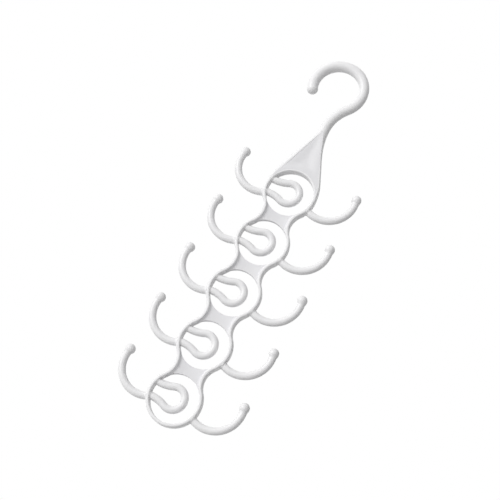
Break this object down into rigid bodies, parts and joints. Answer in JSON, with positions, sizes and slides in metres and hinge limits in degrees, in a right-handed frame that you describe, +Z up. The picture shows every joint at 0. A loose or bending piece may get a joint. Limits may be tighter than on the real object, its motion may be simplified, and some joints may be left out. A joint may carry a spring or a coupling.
{
  "type": "scarf hanger",
  "caption": "Flat white plastic hanger with a rail hook over a ladder of rings, each with a closed inner loop and an open ball-tipped hook on both sides.",
  "frame": {"origin": "seat of the rail, at the top of the hook's inside, mid-depth", "axes": "+Z up when hanging, +X to the right as seen from the front, -Y towards the viewer; the part lies in the XZ plane and is symmetric about it"},
  "size_m": [0.1164, 0.01, 0.3607],
  "materials": {
    "plastic": "white satin moulded plastic"
  },
  "bodies": {
    "root": {"hanging_hook": "plastic", "left_neck_rim": "plastic", "right_neck_rim": "plastic", "crown_rim": "plastic", "neck_panel": "plastic", "left_rim_1": "plastic", "left_rim_2": "plastic", "left_rim_3": "plastic", "left_rim_4": "plastic", "left_rim_5": "plastic", "right_rim_1": "plastic", "right_rim_2": "plastic", "right_rim_3": "plastic", "right_rim_4": "plastic", "right_rim_5": "plastic", "left_waist_1": "plastic", "left_waist_2": "plastic", "left_waist_3": "plastic", "left_waist_4": "plastic", "right_waist_1": "plastic", "right_waist_2": "plastic", "right_waist_3": "plastic", "right_waist_4": "plastic", "web_1": "plastic", "web_2": "plastic", "web_3": "plastic", "web_4": "plastic", "inner_loop_1": "plastic", "inner_loop_2": "plastic", "inner_loop_3": "plastic", "inner_loop_4": "plastic", "inner_loop_5": "plastic", "left_hook_1": "plastic", "left_hook_2": "plastic", "left_hook_3": "plastic", "left_hook_4": "plastic", "left_hook_5": "plastic", "right_hook_1": "plastic", "right_hook_2": "plastic", "right_hook_3": "plastic", "right_hook_4": "plastic", "right_hook_5": "plastic"}
  },
  "joints": []
}
